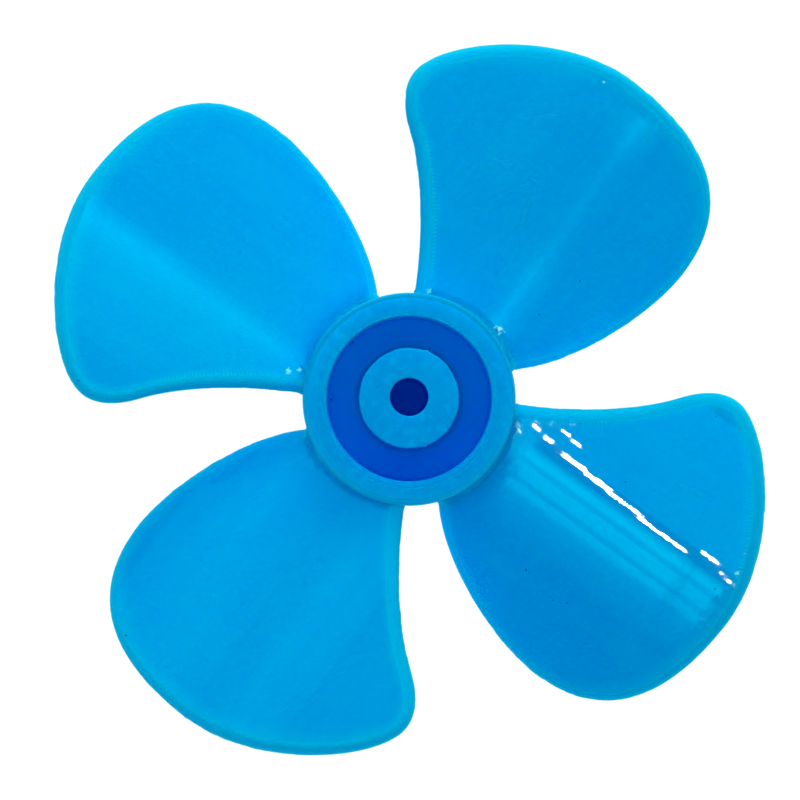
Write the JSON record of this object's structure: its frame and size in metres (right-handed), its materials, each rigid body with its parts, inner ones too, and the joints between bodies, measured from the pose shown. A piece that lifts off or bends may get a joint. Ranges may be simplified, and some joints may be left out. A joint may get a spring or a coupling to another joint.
{
  "type": "propeller",
  "caption": "Small moulded plastic fan propeller with broad pitched petal blades on a cup-shaped hub, whose centre boss presses onto a thin motor shaft.",
  "frame": {"origin": "centre of the nose face, on the hub's axis, at the base that the propeller stands on", "axes": "+Z along the shaft bore's axis and out of its mouth, towards the motor; +X along the first blade's span"},
  "size_m": [0.04, 0.04, 0.0078],
  "materials": {
    "hub_plastic": "bright translucent blue plastic with a satin moulded surface",
    "blade_plastic": "bright translucent blue plastic, glossy on the blade faces"
  },
  "bodies": {
    "root": {"hub_wall": "hub_plastic", "hub_end_wall": "hub_plastic", "shaft_boss": "hub_plastic", "blade_1": "blade_plastic", "blade_2": "blade_plastic", "blade_3": "blade_plastic", "blade_4": "blade_plastic"}
  },
  "joints": []
}
